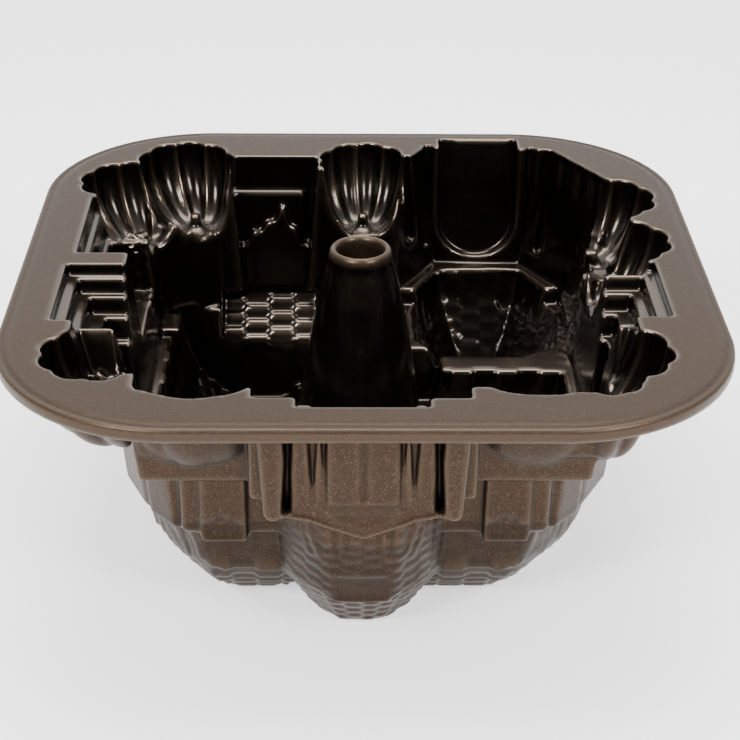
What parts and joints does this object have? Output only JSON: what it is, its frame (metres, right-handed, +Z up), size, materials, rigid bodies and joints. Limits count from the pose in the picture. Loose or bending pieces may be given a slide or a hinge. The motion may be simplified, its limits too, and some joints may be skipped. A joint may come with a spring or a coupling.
{
  "type": "bundt pan",
  "caption": "Deep near-square cast ring-cake pan: flat flange, hollow centre tube and a cavity in the form of an upturned manor house with pumpkins.",
  "frame": {"origin": "middle of the pan's footprint, on the surface that its roofs stand on", "axes": "+Z up out of the open cavity, -Y towards the front porch, +X to the right as seen from the porch"},
  "size_m": [0.267, 0.267, 0.1165],
  "materials": {
    "rim_coating": "satin bronze-brown non-stick coating over cast aluminium",
    "tube_coating": "glossy dark bronze non-stick coating over cast aluminium",
    "wall_coating": "bronze non-stick coating, glossy and dark inside, speckled satin outside",
    "roof_coating": "bronze non-stick coating, glossy and dark inside, speckled satin outside"
  },
  "bodies": {
    "root": {"rim_flange": "rim_coating", "centre_tube": "tube_coating", "back_left_upper_pumpkin_wall": "wall_coating", "back_left_lower_pumpkin_wall": "wall_coating", "back_window_wall": "wall_coating", "back_pumpkin_wall": "wall_coating", "back_arch_wall": "wall_coating", "back_right_pumpkin_corner": "wall_coating", "right_pumpkin_wall": "wall_coating", "right_bay_wall": "wall_coating", "front_right_pumpkin_corner": "wall_coating", "front_right_bush_wall": "wall_coating", "front_porch": "wall_coating", "front_left_bush_wall": "wall_coating", "front_left_pumpkin_corner": "wall_coating", "left_bay_wall": "wall_coating", "left_recess_wall": "wall_coating", "front_tower_roof": "roof_coating", "front_left_roof": "roof_coating", "back_left_roof": "roof_coating", "back_middle_roof": "roof_coating", "octagon_tower_roof": "roof_coating", "front_right_roof": "roof_coating", "tube_foot": "roof_coating"}
  },
  "joints": []
}
